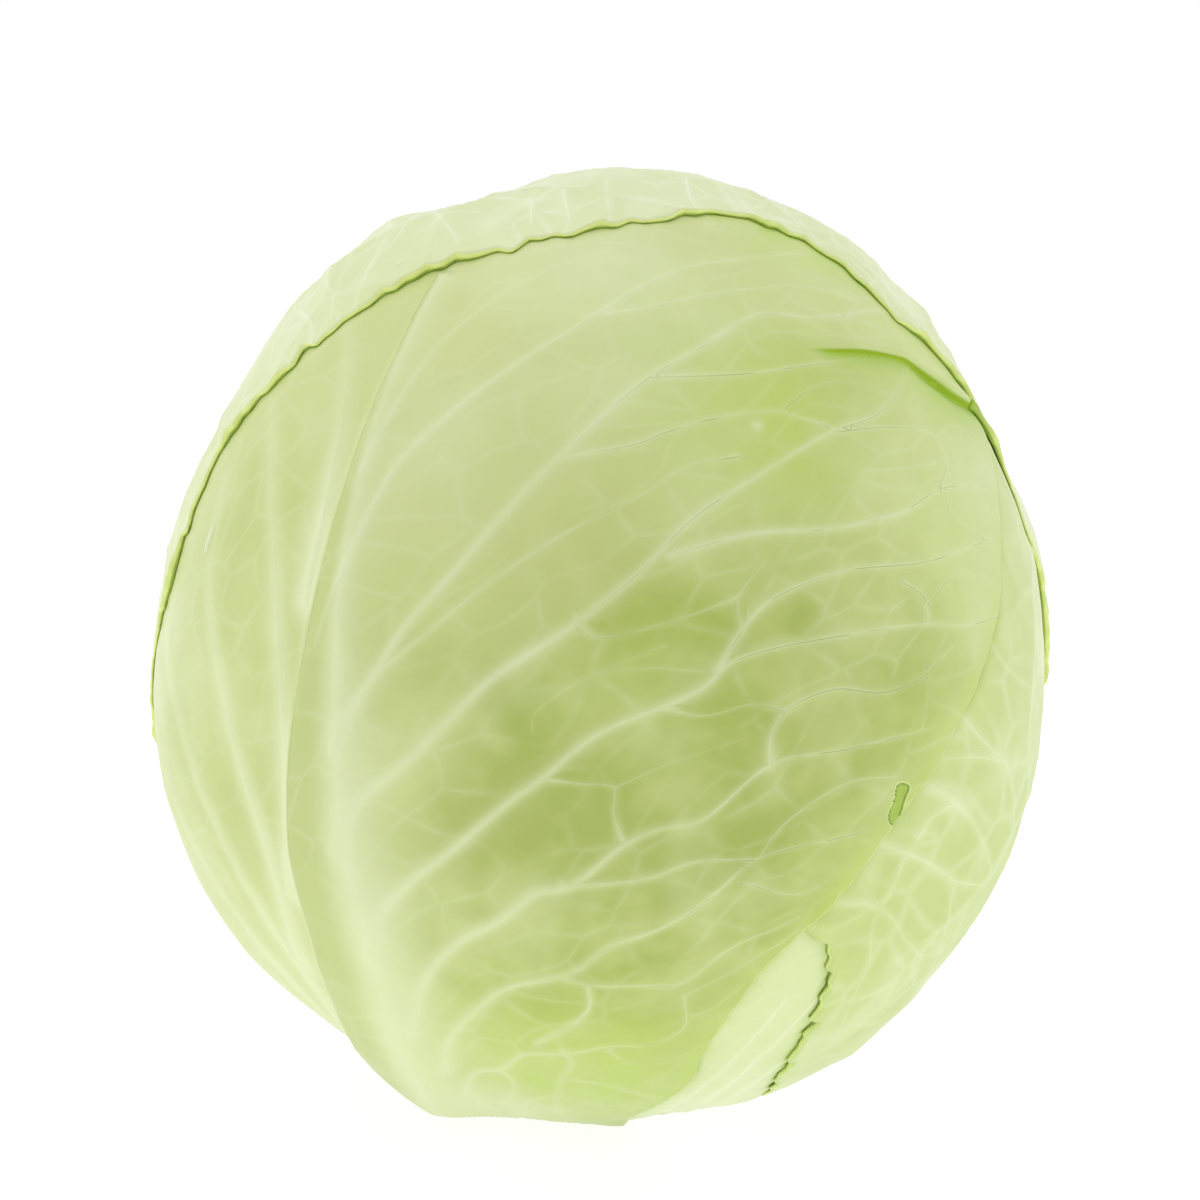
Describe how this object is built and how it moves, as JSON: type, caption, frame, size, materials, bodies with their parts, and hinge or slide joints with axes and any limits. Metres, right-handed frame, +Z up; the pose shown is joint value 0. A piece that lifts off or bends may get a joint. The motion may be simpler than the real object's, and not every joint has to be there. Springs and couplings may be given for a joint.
{
  "type": "white cabbage",
  "caption": "Round white cabbage head of overlapping, veined pale green leaves wrapped round a short cut stem, standing on its foot.",
  "frame": {"origin": "on the table, under the middle of the head, at the middle of the stem's cut face", "axes": "+Z up along the stem towards the top of the head, -Y towards the side with the big front leaf, +X to that side's right"},
  "size_m": [0.18, 0.1791, 0.1879],
  "materials": {
    "crown_leaf": "waxy leaf skin, semi-matt, pale net of veins",
    "front_leaf": "waxy leaf skin, semi-matt, pale branching veins",
    "right_leaf": "waxy leaf skin, semi-matt, pale net of veins",
    "pale_leaf": "waxy leaf skin, semi-matt, nearly white",
    "under_leaves": "waxy leaf skin, semi-matt",
    "inner_leaves": "thin blanched leaf, semi-matt",
    "bud": "blanched young leaves, semi-matt",
    "stem": "freshly cut fibrous stem, matt"
  },
  "bodies": {
    "root": {"stem": "stem", "bud": "bud", "inner_leaf_1": "inner_leaves", "inner_leaf_2": "inner_leaves", "inner_leaf_3": "inner_leaves", "inner_leaf_4": "inner_leaves", "inner_leaf_5": "inner_leaves", "inner_leaf_6": "inner_leaves", "inner_leaf_7": "inner_leaves", "leaf_crown": "crown_leaf", "leaf_front": "front_leaf", "leaf_right": "right_leaf", "leaf_pale_front": "pale_leaf", "leaf_back_left": "under_leaves", "leaf_back_right": "under_leaves"}
  },
  "joints": []
}
